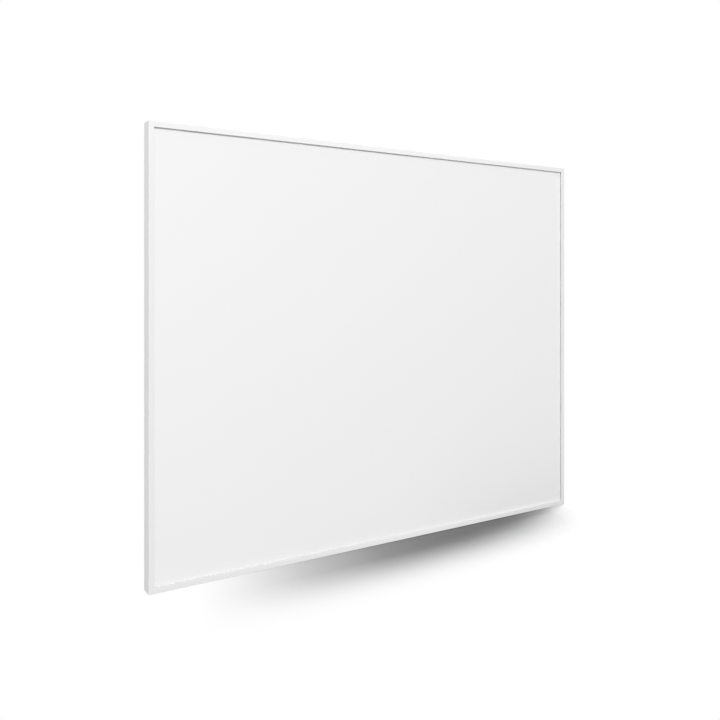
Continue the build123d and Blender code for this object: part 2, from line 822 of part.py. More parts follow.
# ------------------------------------------------------------------ terminal block
block_at = in_box(block_x, block_z)
block_face = box_floor + block_depth
poles = [block_at[1] + z for z in spread(3, 2 * pole_pitch)]
insert_radius = insert_bore_radius + insert_wall
insert_length = block_width - 2 * insert_recess
terminal_screws_at = [(block_at[0] + x, z) for x in spread(2, terminal_screw_pitch) for z in poles]


def from_left(x):
    """A sketch plane square to X, at a place along X, whose extrusions grow to the right."""
    return Plane(origin=(x, 0, 0), x_dir=(0, 1, 0), z_dir=(1, 0, 0))


def wires_through(radius, x, length, mode):
    """Round bars or holes along the three wires."""
    with BuildSketch(from_left(x)) as ends:
        with Locations(*[(front_y + wire_depth, z) for z in poles]):
            Circle(radius)
    extrude(ends.sketch, amount=length, mode=mode)


with BuildPart() as terminal_block:
    with BuildSketch(at_depth(block_face)):
        with Locations(block_at):
            Rectangle(block_width, block_height)
    extrude(amount=block_depth)
    rear_rim = terminal_block.faces().sort_by(Axis.Y)[-1].edges()
    chamfer(rear_rim, length=block_edge_chamfer)
    with BuildSketch(at_depth(block_face)):
        with Locations(block_at):
            with GridLocations(0, pole_pitch, 1, 2):
                Rectangle(block_width, block_slot_width)
    extrude(amount=block_slot_depth, mode=Mode.SUBTRACT)
    wires_through(insert_radius + insert_play, block_at[0] - block_width / 2, block_width, Mode.SUBTRACT)
    with BuildSketch(at_depth(block_face)):
        with Locations(*terminal_screws_at):
            Circle(terminal_screw_head_radius + terminal_screw_play)
    extrude(amount=block_face - wire_depth, mode=Mode.SUBTRACT)
    with BuildSketch(at_depth(block_face)):
        with Locations(block_at):
            with GridLocations(0, pole_pitch, 1, 2):
                Circle(block_screw_head_radius + terminal_screw_play)
    extrude(amount=block_screw_recess + block_screw_head_height + block_slot_depth, mode=Mode.SUBTRACT)
    with BuildSketch(at_depth(block_face)):
        with Locations(block_at):
            with GridLocations(0, pole_pitch, 1, 2):
                Circle(block_screw_radius + screw_thread_play)
    extrude(amount=block_depth, mode=Mode.SUBTRACT)
finish(terminal_block, "terminal_block")

with BuildPart() as terminal_inserts:
    insert_starts = block_at[0] - insert_length / 2
    wires_through(insert_radius, insert_starts, insert_length, Mode.ADD)
    wires_through(insert_bore_radius, insert_starts, insert_length, Mode.SUBTRACT)
    with BuildSketch(at_depth(wire_depth + insert_radius)):
        with Locations(*terminal_screws_at):
            Circle(terminal_screw_radius + screw_thread_play)
    extrude(amount=insert_radius, mode=Mode.SUBTRACT)
finish(terminal_inserts, "terminal_inserts")

with BuildPart() as terminal_screws:
    screw_face = block_face - terminal_screw_recess
    with BuildSketch(at_depth(screw_face)):
        with Locations(*terminal_screws_at):
            Circle(terminal_screw_head_radius)
    extrude(amount=terminal_screw_head_height)
    with BuildSketch(at_depth(screw_face)):
        with Locations(*terminal_screws_at):
            Circle(terminal_screw_radius)
    extrude(amount=screw_face - wire_depth - lead_radius)
finish(terminal_screws, "terminal_screws")

with BuildPart() as block_screws:
    block_screw_seat = block_face - block_slot_depth - block_screw_recess
    for depth, radius, length in (
        (block_screw_seat, block_screw_head_radius, block_screw_head_height),
        (block_screw_seat, block_screw_radius, block_screw_seat - back_face),
    ):
        with BuildSketch(at_depth(depth)):
            with Locations(block_at):
                with GridLocations(0, pole_pitch, 1, 2):
                    Circle(radius)
        extrude(amount=length)
finish(block_screws, "block_screws")

# ------------------------------------------------------------------ cable gland
collar_end = gland_wall_z - gland_collar_length
sleeve_end = collar_end - gland_sleeve_length
seal_radius = gland_seal_bore_radius + gland_seal_wall
nut_start = collar_end - gland_nut_gap
nut_end = nut_start - gland_nut_length
seal_start = collar_end
seal_end = seal_start - gland_seal_length

with BuildPart() as gland_body:
    with BuildSketch(gland_plane(collar_end)):
        RegularPolygon(gland_flats / 2, 6, major_radius=False)
    extrude(amount=gland_collar_length)
    with BuildSketch(gland_plane(gland_wall_z)):
        Circle(gland_thread_radius)
    extrude(amount=box_wall + gland_spigot_length)
    with BuildSketch(gland_plane(sleeve_end)):
        Circle(gland_sleeve_radius)
    extrude(amount=gland_sleeve_length)
    with BuildSketch(gland_plane(sleeve_end)):
        Circle(seal_radius + gland_thread_play)
    extrude(amount=gland_sleeve_length, mode=Mode.SUBTRACT)
    with BuildSketch(gland_plane(sleeve_end)):
        Circle(gland_bore_radius)
    extrude(amount=gland_wall_z + box_wall + gland_spigot_length - sleeve_end, mode=Mode.SUBTRACT)
finish(gland_body, "gland_body")

with BuildPart() as gland_locknut:
    with BuildSketch(gland_plane(gland_wall_z + box_wall)):
        RegularPolygon(locknut_flats / 2, 6, major_radius=False)
        Circle(gland_thread_radius + gland_thread_play, mode=Mode.SUBTRACT)
    extrude(amount=locknut_length)
finish(gland_locknut, "gland_locknut")

with BuildPart() as gland_seal:
    with BuildSketch(gland_plane(seal_end)):
        Circle(seal_radius)
        Circle(gland_seal_bore_radius, mode=Mode.SUBTRACT)
    extrude(amount=gland_seal_length)
finish(gland_seal, "gland_seal")

with BuildPart() as gland_nut:
    dome_start = nut_start - gland_nut_length / 2
    with BuildSketch(gland_plane(dome_start)):
        RegularPolygon(gland_flats / 2, 6, major_radius=False)
    extrude(amount=nut_start - dome_start)
    with BuildSketch(gland_plane(nut_end)):
        Circle(gland_flats / 2)
    extrude(amount=dome_start - nut_end)
    chamfer(gland_nut.edges().group_by(Axis.Z)[0], length=gland_nut_bevel)
    with BuildSketch(gland_plane(sleeve_end)):
        Circle(gland_sleeve_radius + gland_nut_play)
    extrude(amount=nut_start - sleeve_end, mode=Mode.SUBTRACT)
    with BuildSketch(gland_plane(seal_end)):
        Circle(seal_radius + gland_thread_play)
    extrude(amount=sleeve_end - seal_end, mode=Mode.SUBTRACT)
    with BuildSketch(gland_plane(nut_end)):
        Circle(gland_mouth_radius)
    extrude(amount=gland_nut_length, mode=Mode.SUBTRACT)
finish(gland_nut, "gland_nut")

# ------------------------------------------------------------------ over-temperature cut-out
cutout_at = (box_x + cutout_x, lead_line)
cap_rear = foil_front + cutout_cap_height
tab_front = lead_depth - cutout_tab_thickness / 2

with BuildPart() as cutout_cap:
    with BuildSketch(at_depth(cap_rear)):
        with Locations(cutout_at):
            Circle(cutout_cap_radius)
    extrude(amount=cutout_cap_height)
finish(cutout_cap, "cutout_cap")

with BuildPart() as cutout_body:
    with BuildSketch(at_depth(tab_front)):
        with Locations(cutout_at):
            Circle(cutout_body_radius)
    extrude(amount=tab_front - cap_rear)
finish(cutout_body, "cutout_body")

with BuildPart() as cutout_tabs:
    tab_length = cutout_tab_reach - cutout_body_radius / 3
    with BuildSketch(at_depth(tab_front + cutout_tab_thickness)):
        with Locations(cutout_at):
            with GridLocations(2 * cutout_tab_reach - tab_length, 0, 2, 1):
                Rectangle(tab_length, cutout_tab_width)
    extrude(amount=cutout_tab_thickness)
finish(cutout_tabs, "cutout_tabs")

# ------------------------------------------------------------------ leads


def lead(points, name):
    """An insulated lead along straight runs, with each turn as wide as its two runs allow."""
    points = [Vector(x, front_y + depth, z) for x, depth, z in points]
    radii = []
    for before, corner, after in zip(points, points[1:], points[2:]):
        turn = (corner - before).get_angle(after - corner)
        shorter = min((corner - before).length, (after - corner).length)
        radii.append(0.45 * shorter / tan(radians(turn / 2)))
    with BuildPart() as wire:
        with BuildLine() as route:
            FilletPolyline(*points, radius=radii)
        with BuildSketch(Plane(origin=points[0], z_dir=points[1] - points[0])):
            Circle(lead_radius)
        sweep()
    print(f"{name}: {route.wire().length:.0f} mm long, turns of", *[f"{r:.1f}" for r in radii], "mm")
    return wire


earth_pole, neutral_pole, live_pole = poles[2], poles[1], poles[0]
block_side = block_at[0] + block_width / 2
wire_end = block_side - insert_recess - lead_entry
turn_x = block_side + lead_turn
live_x = grommet_at[0] - lead_spacing / 2
neutral_x = grommet_at[0] + lead_spacing / 2
solder_face = circuit_rear + solder_height
barrel_end = barrel_starts - lug_barrel_length

live_lead = lead(
    [
        (wire_end, wire_depth, live_pole),
        (turn_x, wire_depth, live_pole),
        (live_x, wire_depth, lead_line),
        (live_x, lead_depth, lead_line),
        (cutout_at[0] + cutout_tab_reach, lead_depth, lead_line),
    ],
    "live_lead",
)
finish(live_lead, "live_lead")

link_lead = lead(
    [
        (cutout_at[0] - cutout_tab_reach, lead_depth, lead_line),
        (-bus_bar_x, lead_depth, lead_line),
        (-bus_bar_x, solder_face, lead_line),
    ],
    "link_lead",
)
finish(link_lead, "link_lead")

neutral_lead = lead(
    [
        (wire_end, wire_depth, neutral_pole),
        (turn_x, wire_depth, neutral_pole),
        (neutral_x, wire_depth, lead_line),
        (neutral_x, lead_depth, lead_line),
        (bus_bar_x, lead_depth, lead_line),
        (bus_bar_x, solder_face, lead_line),
    ],
    "neutral_lead",
)
finish(neutral_lead, "neutral_lead")

earth_lead = lead(
    [
        (wire_end, wire_depth, earth_pole),
        (block_side + lead_turn / 2, wire_depth, earth_pole),
        (barrel_end - lead_turn / 2, barrel_depth, stud_at[1]),
        (barrel_end + lug_entry, barrel_depth, stud_at[1]),
    ],
    "earth_lead",
)
finish(earth_lead, "earth_lead")
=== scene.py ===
"""An infrared panel heater in a white studio: its finishes, its screws, the camera and the lamps."""

import math

import bpy
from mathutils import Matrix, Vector


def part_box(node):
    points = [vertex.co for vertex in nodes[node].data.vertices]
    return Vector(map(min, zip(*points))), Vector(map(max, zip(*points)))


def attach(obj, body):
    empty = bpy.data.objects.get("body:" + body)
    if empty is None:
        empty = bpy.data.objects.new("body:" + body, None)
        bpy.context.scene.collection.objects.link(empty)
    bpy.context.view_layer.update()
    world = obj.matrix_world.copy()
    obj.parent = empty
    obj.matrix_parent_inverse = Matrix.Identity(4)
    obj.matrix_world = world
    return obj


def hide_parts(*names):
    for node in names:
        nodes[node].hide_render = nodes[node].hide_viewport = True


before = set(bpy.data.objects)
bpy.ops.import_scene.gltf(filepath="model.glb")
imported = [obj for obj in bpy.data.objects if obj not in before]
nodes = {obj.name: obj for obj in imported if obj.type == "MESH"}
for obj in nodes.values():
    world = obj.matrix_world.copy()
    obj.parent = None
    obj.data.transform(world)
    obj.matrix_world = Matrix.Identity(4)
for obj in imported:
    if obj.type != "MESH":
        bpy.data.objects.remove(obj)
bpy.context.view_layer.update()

bl_info = {
    "name": "Infrared Panel Heater",
    "version": (1, 0, 0),
    "blender": (4, 5, 0),
    "location": "3D View > Sidebar > Heater",
    "description": "Gives an infrared panel heater its finishes and screws, and sets up its studio",
    "category": "Object",
}

FRAME_LENGTHS = ("top_rail", "bottom_rail", "left_stile", "right_stile")
CORNERS = ("upper_left", "upper_right", "lower_left", "lower_right")
MM = 0.001  # a millimetre, in metres
WAVE_REPEAT = math.pi / 10  # from band to band of a straight wave texture of scale 1


def linear(colour):
    """The linear values of an sRGB hex colour, as shaders take them."""
    values = [int(colour[i : i + 2], 16) / 255 for i in (1, 3, 5)]
    return tuple(v / 12.92 if v <= 0.04045 else ((v + 0.055) / 1.055) ** 2.4 for v in values)


# ------------------------------------------------------------------ settings


def length(name, millimetres, description):
    """A size, whose default is given in millimetres."""
    return bpy.props.FloatProperty(
        name=name, default=millimetres * MM, description=description, unit="LENGTH", precision=5
    )


def lamp_power(name, watts, description):
    """The power of a lamp in watts."""
    return bpy.props.FloatProperty(name=name, default=watts, description=description, unit="POWER")


def colour(name, default, description):
    """A colour, from its sRGB hex value."""
    return bpy.props.FloatVectorProperty(
        name=name, default=linear(default), description=description, subtype="COLOR", size=3, min=0, max=1
    )


def share(name, default, description):
    """A value from 0 to 1."""
    return bpy.props.FloatProperty(
        name=name, default=default, description=description, subtype="FACTOR", min=0, max=1
    )


class HeaterFinish(bpy.types.PropertyGroup):
    """Colours and grain of the heater's finishes."""

    # The frame's white is set greyer than the front plate's: painted shade, standing in for the shade that
    # falls on the frame's lips.
    frame_colour_with_painted_shade: colour("Frame", "#EBEBEB", "Powder coat on the aluminium frame")
    plate_colour: colour("Front plate", "#F3F3F3", "Powder coat on the steel front plate")
    coat_roughness: share("Coat roughness", 0.54, "A satin coat lies between silk and matt")
    coat_peel: length("Coat waviness", 1.6, "From wave to wave of the coat's orange peel")
    coat_clouds: length("Coat clouds", 200.0, "Size of the areas where the coat is a little thicker")
    # The seal's grey is painted shade: it darkens the recess between the lip and the front plate.
    seal_colour_with_painted_shade: colour("Seal", "#C6C6C4", "Foam tape between the lip and the front plate")
    sheet_colour: colour("Galvanised sheet", "#AEB3B5", "Back plate")
    spangle: length("Spangle", 11.0, "Size of the zinc crystals on the back plate")
    zinc_colour: colour("Zinc plating", "#C3C7CA", "Screws, brackets and nuts")
    turned_colour: colour("Turned steel", "#B9BCBE", "Wall buttons")
    # A lathe's real feed is finer. This one is as coarse as it needs to be to show.
    turning_feed: length("Turning feed", 0.5, "From ring to ring of the tool's marks on a wall button")
    box_colour: colour("Terminal box", "#2A2B2D", "Moulded box and lid")
    gland_colour: colour("Cable gland", "#202123", "Gland, dome nut and locknut")
    rubber_colour: colour("Rubber", "#18191A", "Gasket, grommet and the gland's seal")
    # Real pits from sparks are finer. These are as coarse as they need to be to show.
    mould_grain: length("Mould grain", 0.9, "From pit to pit of the spark-eroded texture")


class HeaterInside(bpy.types.PropertyGroup):
    """Colours of what the closed heater holds."""

    aluminium_colour: colour("Aluminium", "#C8CBCE", "Corner keys, rivets and the cut-out's cap")
    film_colour: colour("Film", "#C98A2E", "Amber film on both sides of the carbon strips")
    ink_colour: colour("Carbon ink", "#17181A", "Printed heating strips")
    copper_colour: colour("Copper", "#D08A66", "Bus bars")
    solder_colour: colour("Solder", "#A9ABAD", "Joints between the leads and the bus bars")
    foil_colour: colour("Foil", "#D9DCDE", "Reflector behind the element")
    board_colour: colour("Fibre board", "#D8D0B4", "Insulation")
    brass_colour: colour("Brass", "#D2B06A", "Terminal inserts, lug and tabs")
    steatite_colour: colour("Steatite", "#E6E0D0", "Terminal block")
    phenolic_colour: colour("Phenolic", "#2C211B", "Body of the cut-out")
    live_colour: colour("Live lead", "#5C3A22", "Silicone insulation of the live and link leads")
    neutral_colour: colour("Neutral lead", "#2A5DA8", "Silicone insulation of the neutral lead")
    earth_green: colour("Earth lead green", "#3E8C3A", "One stripe of the earth lead")
    earth_yellow: colour("Earth lead yellow", "#E2C72E", "The other stripe of the earth lead")


class HeaterScrews(bpy.types.PropertyGroup):
    """Sizes of the cross-recess screws."""

    frame_head_radius: length("Pan head radius", 3.4, "Screws that hold the back plate and the brackets")
    frame_head_height: length("Pan head height", 2.0, "From the seat to the top")
    frame_shank_radius: length("Thread radius", 1.75, "Of the frame screws")
    lid_head_radius: length("Countersunk head radius", 2.85, "Screws of the terminal box's lid")
    lid_shank_radius: length("Lid thread radius", 1.45, "Of the lid's screws")
    recess_width: length("Recess width", 0.8, "Width of one slot of the cross")
    recess_share: share("Recess length", 0.62, "Length of the cross as a share of the head's width")
    recess_depth: length("Recess depth", 1.2, "From the head's top to the bottom of the cross")
    seed: bpy.props.IntProperty(name="Seed", default=7, description="Picks how far each screw is turned")


class HeaterStudio(bpy.types.PropertyGroup):
    """The camera, the lamps and the floor."""

    camera_place: bpy.props.FloatVectorProperty(
        name="Camera",
        default=(-0.6692, -0.99818, 0.09287),
        description="Place of the camera",
        unit="LENGTH",
        size=3,
    )
    camera_turn: bpy.props.FloatProperty(
        name="Turn", default=math.radians(-32.504), description="Turn of the level camera", subtype="ANGLE"
    )
    lens: bpy.props.FloatProperty(
        name="Lens", default=38.253, description="Focal length", subtype="DISTANCE_CAMERA"
    )
    shift: bpy.props.FloatProperty(name="Shift", default=-0.10504, description="Vertical shift of the lens")
    room_light: bpy.props.FloatProperty(
        name="Room light", default=0.40, description="Soft light from the walls", min=0
    )
    ceiling_light: bpy.props.FloatProperty(
        name="Ceiling light", default=0.62, description="Soft light from straight above", min=0
    )
    key_light: lamp_power("Key lamp", 186.0, "Large lamp high up in front of the heater")
    top_light: lamp_power("Top lamp", 0.12, "Strip above the heater that whitens its top rail")
    low_light: lamp_power("Low lamp", 0.03, "Strip in front of the bottom rail's right part")
    side_light: lamp_power("Side lamp", 12.0, "Lamp to the left of the heater")
    floor_light: lamp_power("Floor lamp", 285.0, "Lamp above and behind the heater, for the floor")
    floor_grey: share("Floor grey", 0.21, "What the lit floor reflects where the shadow shows")
    floor_bounce: share("Floor bounce", 0.34, "Light that the floor gives back to the heater")
    dimmed_bounce: share("Dimmed bounce", 0.14, "The same where the shadow is deepest")
    shadow_depth: length("Shadow depth", 225.0, "From the wall to where the shadow ends")
    shadow_core: length("Shadow core", 105.0, "From the wall to where the shadow starts to fade")
    shadow_slant: bpy.props.FloatProperty(
        name="Shadow slant", default=-0.35, description="What Y counts towards X, which slants its ends"
    )
    floor_gap: length("Floor gap", 1.0, "From the heater's lower edge to the floor")


# ------------------------------------------------------------------ materials


def add_node(tree, kind, inputs=None, **settings):
    """Adds a node, gives it its settings, and sets or links its inputs."""
    made = tree.nodes.new(kind)
    for name, value in settings.items():
        setattr(made, name, value)
    for name, value in (inputs or {}).items():
        if isinstance(value, bpy.types.NodeSocket):
            tree.links.new(value, made.inputs[name])
        else:
            made.inputs[name].default_value = value
    return made


def shade_of(base, level):
    """A shade of a linear colour: darker where level is below 1 and lighter above it."""
    return (*(min(1.0, level * value) for value in base), 1)


def start_material(name, base, roughness, metallic=0.0, **shader_inputs):
    """A new material: its tree, its shader and the coordinates of its object."""
    material = bpy.data.materials.new(name)
    material.use_nodes = True
    tree = material.node_tree
    tree.nodes.clear()
    values = {"Base Color": (*base, 1), "Roughness": roughness, "Metallic": metallic}
    values.update({socket.replace("_", " "): value for socket, value in shader_inputs.items()})
    shader = add_node(tree, "ShaderNodeBsdfPrincipled", values)
    add_node(tree, "ShaderNodeOutputMaterial", {"Surface": shader.outputs[0]})
    place = add_node(tree, "ShaderNodeTexCoord").outputs["Object"]
    return material, tree, shader, place


def powder_coat(name, base, finish):
    """Polyester powder coat, sprayed and baked: an even satin with a faint orange peel."""
    roughness = finish.coat_roughness
    material, tree, shader, place = start_material(name, base, roughness, IOR=1.52)
    # Waves of orange peel, and under them the fine grain of the fused powder.
    powder = finish.coat_peel / 6  # coarser than real powder, so that it shows
    powder_height = 0.15  # as a share of the waves' height
    waves = add_node(
        tree,
        "ShaderNodeTexNoise",
        {"Vector": place, "Scale": 1 / finish.coat_peel, "Detail": 2.0, "Roughness": 0.45},
    )
    grain = add_node(tree, "ShaderNodeTexNoise", {"Vector": place, "Scale": 1 / powder, "Detail": 1.0})
    surface = add_node(
        tree,
        "ShaderNodeMath",
        {0: grain.outputs[0], 1: powder_height, 2: waves.outputs[0]},
        operation="MULTIPLY_ADD",
    )
    bump = add_node(
        tree, "ShaderNodeBump", {"Strength": 0.35, "Distance": 0.03 * MM, "Height": surface.outputs[0]}
    )
    # The film is not quite evenly thick, which shows as a slow change of gloss and of white.
    gloss_change = 0.03
    least_white = 0.985
    clouds = add_node(
        tree, "ShaderNodeTexNoise", {"Vector": place, "Scale": 1 / finish.coat_clouds, "Detail": 2.0}
    )
    gloss = add_node(
        tree,
        "ShaderNodeMapRange",
        {
            "Value": clouds.outputs[0],
            "To Min": roughness - gloss_change,
            "To Max": roughness + gloss_change,
        },
    )
    white = add_node(
        tree,
        "ShaderNodeMix",
        {
            "Factor": clouds.outputs[0],
            "A": (*base, 1),
            "B": shade_of(base, least_white),
        },
        data_type="RGBA",
    )
    tree.links.new(bump.outputs[0], shader.inputs["Normal"])
    tree.links.new(gloss.outputs[0], shader.inputs["Roughness"])
    tree.links.new(white.outputs["Result"], shader.inputs["Base Color"])
    return material


def grained(
    name, base, roughness, grain, depth, metallic=0.0, drawn=(1, 1, 1), spread=0.04, **shader_inputs
):
    """A surface with a fine grain, which its gloss and its height follow.

    The grain is drawn out along the axes where drawn is below 1. The lines that dies and rolls leave
    on real metal are finer than the grain given here, which is as coarse as it needs to be to show.
    """
    material, tree, shader, place = start_material(name, base, roughness, metallic, **shader_inputs)
    run = add_node(tree, "ShaderNodeMapping", {"Vector": place, "Scale": drawn})
    noise = add_node(
        tree, "ShaderNodeTexNoise", {"Vector": run.outputs[0], "Scale": 1 / grain, "Detail": 3.0}
    )
    gloss = add_node(
        tree,
        "ShaderNodeMapRange",
        {
            "Value": noise.outputs[0],
            "From Min": 0.3,
            "From Max": 0.7,
            "To Min": roughness - spread,
            "To Max": roughness + spread,
        },
    )
    bump = add_node(tree, "ShaderNodeBump", {"Strength": 0.6, "Distance": depth, "Height": noise.outputs[0]})
    tree.links.new(gloss.outputs[0], shader.inputs["Roughness"])
    tree.links.new(bump.outputs[0], shader.inputs["Normal"])
    return material, tree, shader, place


def zinc_plating(finish):
    """Bright zinc on steel: a cool metal whose gloss is slightly cloudy."""
    name = "bright zinc plating on steel"
    if name in bpy.data.materials:
        return bpy.data.materials[name]
    # The clouds are where the plating bath left the layer thicker.
    return grained(
        name, finish.zinc_colour, roughness=0.34, grain=4 * MM, depth=0.01 * MM, metallic=1.0, spread=0.08
    )[0]


def assign(material, *names):
    """Gives CAD nodes a material in place of their plain one."""
    for name in names:
        slots = nodes[name].material_slots
        if not slots:
            nodes[name].data.materials.append(material)
        for material_slot in slots:
            material_slot.material = material


# ------------------------------------------------------------------ screws


def solids(name):
    """The lowest and highest corner of each separate solid in a CAD node."""
    mesh = nodes[name].data
    keys = [tuple(round(c, 6) for c in v.co) for v in mesh.vertices]
    leader = {key: key for key in keys}

    def find(key):
        while leader[key] != key:
            leader[key] = leader[leader[key]]
            key = leader[key]
        return key

    for edge in mesh.edges:
        leader[find(keys[edge.vertices[0]])] = find(keys[edge.vertices[1]])
    groups = {}
    for key in leader:
        groups.setdefault(find(key), []).append(key)
    return [
        (Vector(map(min, zip(*points))), Vector(map(max, zip(*points)))) for points in groups.values()
    ]


def screw_tree(name, countersunk):
    """Nodes that put a cross-recess screw on each point, its head towards +Y, and turn each a little."""
    tree = bpy.data.node_groups.new(name, "GeometryNodeTree")
    sizes = ("Head Radius", "Head Height", "Shank Radius", "Shank Length", "Recess Length", "Recess Width")
    tree.interface.new_socket("Points", in_out="INPUT", socket_type="NodeSocketGeometry")
    for size in (*sizes, "Recess Depth"):
        tree.interface.new_socket(size, in_out="INPUT", socket_type="NodeSocketFloat").subtype = "DISTANCE"
    tree.interface.new_socket("Seed", in_out="INPUT", socket_type="NodeSocketInt")
    tree.interface.new_socket("Material", in_out="INPUT", socket_type="NodeSocketMaterial")
    tree.interface.new_socket("Screws", in_out="OUTPUT", socket_type="NodeSocketGeometry")
    given = add_node(tree, "NodeGroupInput").outputs
    if countersunk:
        cone = add_node(
            tree,
            "GeometryNodeMeshCone",
            {
                "Vertices": 32,
                "Radius Top": given["Head Radius"],
                "Radius Bottom": given["Shank Radius"],
                "Depth": given["Head Height"],
            },
        )
        down = add_node(tree, "ShaderNodeMath", {0: given["Head Height"], 1: -1.0}, operation="MULTIPLY")
        drop = add_node(tree, "ShaderNodeCombineXYZ", {"Z": down.outputs[0]})
        head = add_node(
            tree, "GeometryNodeTransform", {"Geometry": cone.outputs[0], "Translation": drop.outputs[0]}
        )
        top = add_node(tree, "ShaderNodeCombineXYZ")
        shank_top = down.outputs[0]
    else:
        # A pan head is a low cylinder cut by a flat dome.
        barrel_height = 2.4  # in head heights, so that it stands clear of the dome
        dome_radius = 1.22  # in head radii, so that the dome leaves the cylinder a rim
        tall = add_node(
            tree, "ShaderNodeMath", {0: given["Head Height"], 1: barrel_height}, operation="MULTIPLY"
        )
        barrel = add_node(
            tree,
            "GeometryNodeMeshCylinder",
            {"Vertices": 40, "Radius": given["Head Radius"], "Depth": tall.outputs[0]},
        )
        lift = add_node(tree, "ShaderNodeMath", {0: tall.outputs[0], 1: 0.5}, operation="MULTIPLY")
        raised = add_node(tree, "ShaderNodeCombineXYZ", {"Z": lift.outputs[0]})
        standing = add_node(
            tree, "GeometryNodeTransform", {"Geometry": barrel.outputs[0], "Translation": raised.outputs[0]}
        )
        wide = add_node(
            tree, "ShaderNodeMath", {0: given["Head Radius"], 1: dome_radius}, operation="MULTIPLY"
        )
        form = add_node(
            tree,
            "ShaderNodeCombineXYZ",
            {"X": wide.outputs[0], "Y": wide.outputs[0], "Z": given["Head Height"]},
        )
        ball = add_node(tree, "GeometryNodeMeshUVSphere", {"Segments": 40, "Rings": 24, "Radius": 1.0})
        dome = add_node(
            tree, "GeometryNodeTransform", {"Geometry": ball.outputs[0], "Scale": form.outputs[0]}
        )
        head = add_node(tree, "GeometryNodeMeshBoolean", operation="INTERSECT")
        tree.links.new(standing.outputs[0], head.inputs["Mesh 2"])
        tree.links.new(dome.outputs[0], head.inputs["Mesh 2"])
        top = add_node(tree, "ShaderNodeCombineXYZ", {"Z": given["Head Height"]})
        shank_top = 0.0
    # The cross is two crossed bars, sunk into the head by half their height.
    deep = add_node(tree, "ShaderNodeMath", {0: given["Recess Depth"], 1: 2.0}, operation="MULTIPLY")
    cut = add_node(tree, "GeometryNodeMeshBoolean", operation="DIFFERENCE")
    tree.links.new(head.outputs[0], cut.inputs["Mesh 1"])
    for long_side, short_side in (("X", "Y"), ("Y", "X")):
        bar_size = add_node(
            tree,
            "ShaderNodeCombineXYZ",
            {long_side: given["Recess Length"], short_side: given["Recess Width"], "Z": deep.outputs[0]},
        )
        bar = add_node(tree, "GeometryNodeMeshCube", {"Size": bar_size.outputs[0]})
        sunk = add_node(
            tree, "GeometryNodeTransform", {"Geometry": bar.outputs[0], "Translation": top.outputs[0]}
        )
        tree.links.new(sunk.outputs[0], cut.inputs["Mesh 2"])
    shank = add_node(
        tree,
        "GeometryNodeMeshCylinder",
        {"Vertices": 24, "Radius": given["Shank Radius"], "Depth": given["Shank Length"]},
    )
    middle = add_node(
        tree, "ShaderNodeMath", {0: given["Shank Length"], 1: -0.5, 2: shank_top}, operation="MULTIPLY_ADD"
    )
    below = add_node(tree, "ShaderNodeCombineXYZ", {"Z": middle.outputs[0]})
    driven = add_node(
        tree, "GeometryNodeTransform", {"Geometry": shank.outputs[0], "Translation": below.outputs[0]}
    )
    screw = add_node(tree, "GeometryNodeJoinGeometry")
    tree.links.new(cut.outputs[0], screw.inputs[0])
    tree.links.new(driven.outputs[0], screw.inputs[0])
    placed = add_node(
        tree,
        "GeometryNodeInstanceOnPoints",
        {"Points": given["Points"], "Instance": screw.outputs[0], "Rotation": (-math.pi / 2, 0, 0)},
    )
    # Each screw stops somewhere in half a turn. Socket 3 is the most that is drawn.
    turn = add_node(
        tree, "FunctionNodeRandomValue", {"Seed": given["Seed"], 3: math.pi}, data_type="FLOAT"
    )
    about = add_node(tree, "ShaderNodeCombineXYZ", {"Z": turn.outputs[1]})
    turned = add_node(
        tree, "GeometryNodeRotateInstances", {"Instances": placed.outputs[0], "Rotation": about.outputs[0]}
    )
    real = add_node(tree, "GeometryNodeRealizeInstances", {"Geometry": turned.outputs[0]})
    coated = add_node(
        tree, "GeometryNodeSetMaterial", {"Geometry": real.outputs[0], "Material": given["Material"]}
    )
    add_node(tree, "NodeGroupOutput", {"Screws": coated.outputs[0]})
    return tree


def plain_mesh(name, points, tree, values):
    """Runs a tree on points and returns the result as a plain mesh object."""
    seed_mesh = bpy.data.meshes.new(name + "_points")
    seed_mesh.from_pydata(points, [], [])
    carrier = bpy.data.objects.new(name + "_points", seed_mesh)
    bpy.context.scene.collection.objects.link(carrier)
    modifier = carrier.modifiers.new(name, "NODES")
    modifier.node_group = tree
    for item in tree.interface.items_tree:
        if item.in_out == "INPUT" and item.name in values:
            modifier[item.identifier] = values[item.name]
    evaluated = carrier.evaluated_get(bpy.context.evaluated_depsgraph_get())
    mesh = bpy.data.meshes.new_from_object(evaluated)
    mesh.name = name
    mesh.polygons.foreach_set("use_smooth", [True] * len(mesh.polygons))
    mesh.set_sharp_from_angle(angle=math.radians(35))
    bpy.data.objects.remove(carrier)
    piece = bpy.data.objects.new(name, mesh)
    bpy.context.scene.collection.objects.link(piece)
    return piece


# ------------------------------------------------------------------ studio


def background_rays(tree):
    """1 for the rays that bring the background to the eye: straight, mirrored or through glass."""
    rays = add_node(tree, "ShaderNodeLightPath").outputs
    seen = add_node(
        tree, "ShaderNodeMath", {0: rays["Is Camera Ray"], 1: rays["Is Glossy Ray"]}, operation="MAXIMUM"
    )
    return add_node(
        tree, "ShaderNodeMath", {0: seen.outputs[0], 1: rays["Is Transmission Ray"]}, operation="MAXIMUM"
    ).outputs[0]


# ------------------------------------------------------------------ operators


